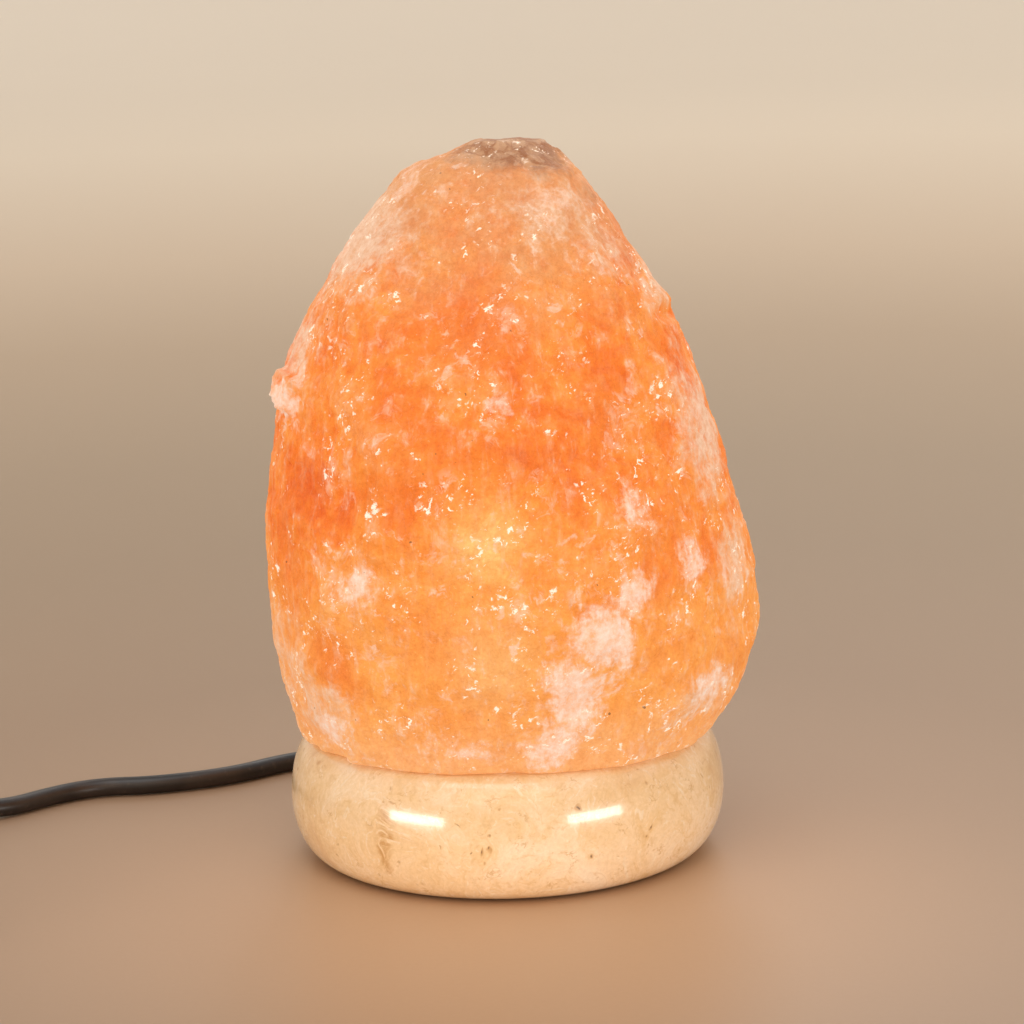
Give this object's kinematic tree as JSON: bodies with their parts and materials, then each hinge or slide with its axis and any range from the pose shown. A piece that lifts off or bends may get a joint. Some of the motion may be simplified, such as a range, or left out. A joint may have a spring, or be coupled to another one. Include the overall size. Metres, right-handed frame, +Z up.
{
  "type": "salt crystal lamp",
  "caption": "Hewn salt crystal on a turned, polished stone base, lit by a small screw bulb inside, with a mains cord, in-line rocker switch and plug.",
  "frame": {"origin": "on the base's axis, at the table plane under its felt ring", "axes": "+Z up through the crystal, front towards -Y, the cord leaves the back of the base and runs to -X"},
  "size_m": [0.3765, 0.1854, 0.197],
  "materials": {
    "rock_salt": "hewn, translucent, lit from inside",
    "polished_stone": "polished cream limestone",
    "felt": "pressed felt",
    "zinc_steel": "zinc plated",
    "grey_nylon": "moulded",
    "white_nylon": "moulded",
    "black_bakelite": "moulded",
    "porcelain": "unglazed",
    "brass": "stamped",
    "spring_steel": "bent strip",
    "solder": "dull solder",
    "black_glass": "fused glass",
    "nickel": "nickel plated",
    "clear_glass": "clear",
    "stem_glass": "clear",
    "hot_tungsten": "glowing",
    "cord_sheath": "satin black sheath",
    "cord_moulding": "moulded PVC",
    "brown_insulation": "insulation",
    "blue_insulation": "insulation",
    "tie_fabric": "hook and loop strip",
    "pin_insulation": "moulded sleeve",
    "switch_plastic": "fine spark texture",
    "rocker_plastic": "moulded"
  },
  "bodies": {
    "lamp": {"salt_crystal": "rock_salt", "marble_base": "polished_stone", "felt_ring": "felt", "screw_washers": "zinc_steel", "base_screws": "zinc_steel", "wall_plugs": "grey_nylon", "holder_cap": "black_bakelite", "grip_screw": "white_nylon", "holder_sleeve": "black_bakelite", "holder_core": "porcelain", "holder_terminals": "brass", "terminal_screws": "zinc_steel", "thread_shell": "brass", "centre_contact": "brass", "side_contact": "brass", "spring_clip": "spring_steel", "cord_in_base": "cord_sheath", "core_brown": "brown_insulation", "core_blue": "blue_insulation", "cord_lead": "cord_sheath", "cord_link": "cord_sheath", "cord_coil": "cord_sheath", "coil_tie": "tie_fabric", "cord_tail": "cord_sheath", "plug_relief": "cord_moulding", "plug_body": "cord_moulding", "plug_pins": "nickel", "pin_sleeves": "pin_insulation", "switch_lower": "switch_plastic", "switch_upper": "switch_plastic", "switch_terminals": "brass", "switch_screws": "zinc_steel", "switch_boots": "cord_moulding"},
    "bulb": {"contact_solder": "solder", "cap_insulator": "black_glass", "bulb_cap": "nickel", "bulb_glass": "clear_glass", "glass_stem": "stem_glass", "lead_wires": "nickel", "filament": "hot_tungsten"},
    "switch_rocker": {"rocker": "rocker_plastic", "moving_contact": "brass"}
  },
  "joints": [
    {"name": "bulb_turn", "type": "hinge", "parent": "lamp", "child": "bulb", "pos_m": [0, 0, 0.05], "axis": [0, 0, 1], "range_deg": [0, 900]},
    {"name": "rocker_tip", "type": "hinge", "parent": "lamp", "child": "switch_rocker", "pos_m": [-0.227, 0.033, 0.013], "axis": [0, 1, 0], "range_deg": [0, 22]}
  ]
}
